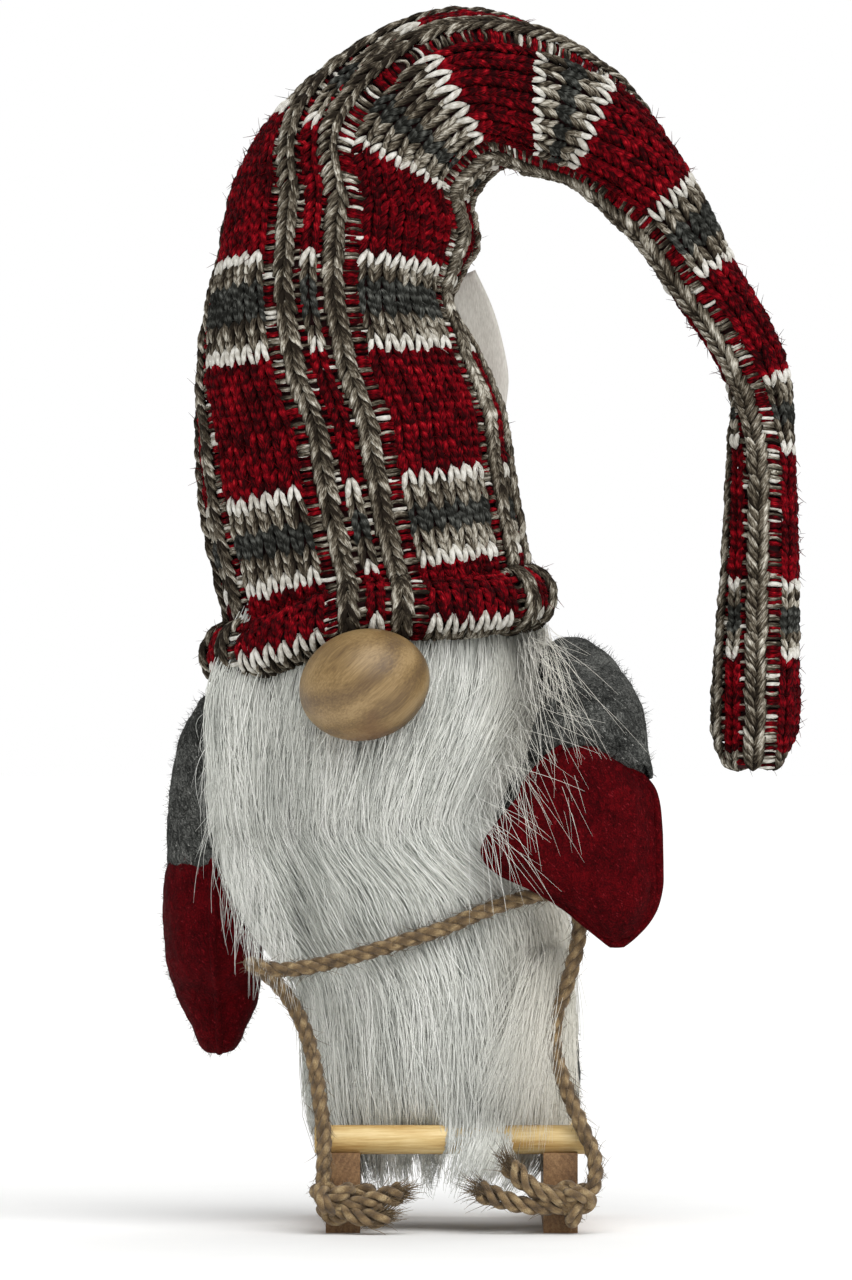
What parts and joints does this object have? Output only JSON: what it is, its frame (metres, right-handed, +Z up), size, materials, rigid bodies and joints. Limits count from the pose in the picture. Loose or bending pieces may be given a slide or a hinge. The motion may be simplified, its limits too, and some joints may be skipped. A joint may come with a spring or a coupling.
{
  "type": "tomte gnome figurine",
  "caption": "Stuffed tomte gnome with a long bent knitted hat, wooden nose, white beard and mittens, on a small wooden sled whose rope it holds.",
  "frame": {"origin": "middle of the overall box in X and Y, on the plane that the sled's runners stand on", "axes": "+Z up, -Y the way the figure faces, +X the viewer's right when looking at its front"},
  "size_m": [0.186, 0.1324, 0.3553],
  "materials": {
    "runner_wood": "sanded raw wood, reddish end grain",
    "dowel_wood": "sanded raw birch dowel",
    "nose_wood": "sanded wooden ball with a thin satin varnish",
    "jute": "three-strand twisted jute, hairy",
    "grey_felt": "melange wool felt, short nap",
    "red_felt": "dark red wool felt, short nap",
    "hat_knit": "plaid knit of red, charcoal, white and brown-white marl yarn",
    "faux_fur": "long straight glossy white pile",
    "fibre_fill": "loose polyester filling",
    "pellet_cloth": "thin cotton bag filled with pellets",
    "card": "plain stiff card",
    "wire": "soft galvanised wire",
    "label_satin": "blank woven satin ribbon"
  },
  "bodies": {
    "figure": {"runner_left": "runner_wood", "runner_right": "runner_wood", "crossbar_front": "dowel_wood", "crossbar_mid_front": "dowel_wood", "crossbar_mid_back": "dowel_wood", "crossbar_back": "dowel_wood", "rope": "jute", "rope_knot_left": "jute", "rope_knot_right": "jute", "body_shell": "grey_felt", "base_felt": "grey_felt", "base_card": "card", "pellet_bag": "pellet_cloth", "body_stuffing": "fibre_fill", "beard": "faux_fur", "nose": "nose_wood", "hat_brim": "hat_knit", "hat_crown": "hat_knit", "crown_stuffing": "fibre_fill", "wire_crown": "wire", "care_label": "label_satin"},
    "left_arm": {"sleeve_left": "grey_felt", "sleeve_stuffing_left": "fibre_fill", "mitten_left_outer": "red_felt", "mitten_left_inner": "red_felt", "mitten_stuffing_left": "fibre_fill"},
    "right_arm": {"sleeve_right": "grey_felt", "sleeve_stuffing_right": "fibre_fill", "mitten_right_front": "red_felt", "mitten_right_back": "red_felt", "mitten_stuffing_right": "fibre_fill"},
    "hat_middle": {"hat_arch": "hat_knit", "arch_stuffing": "fibre_fill", "wire_arch": "wire"},
    "hat_end": {"hat_tail": "hat_knit", "tail_stuffing": "fibre_fill", "wire_tail": "wire"}
  },
  "joints": [
    {"name": "left_arm_lift", "type": "hinge", "parent": "figure", "child": "left_arm", "pos_m": [-0.077, 0, 0.147], "axis": [0, 1, 0], "range_deg": [0, 50]},
    {"name": "right_arm_lift", "type": "hinge", "parent": "figure", "child": "right_arm", "pos_m": [0.025, 0, 0.163], "axis": [0, -1, 0], "range_deg": [0, 50]},
    {"name": "hat_bend", "type": "hinge", "parent": "figure", "child": "hat_middle", "pos_m": [-0.029, 0, 0.315], "axis": [0, -1, 0], "range_deg": [-3, 20]},
    {"name": "hat_end_bend", "type": "hinge", "parent": "hat_middle", "child": "hat_end", "pos_m": [0.08, 0, 0.2525], "axis": [0, -1, 0], "range_deg": [-4, 45]}
  ]
}
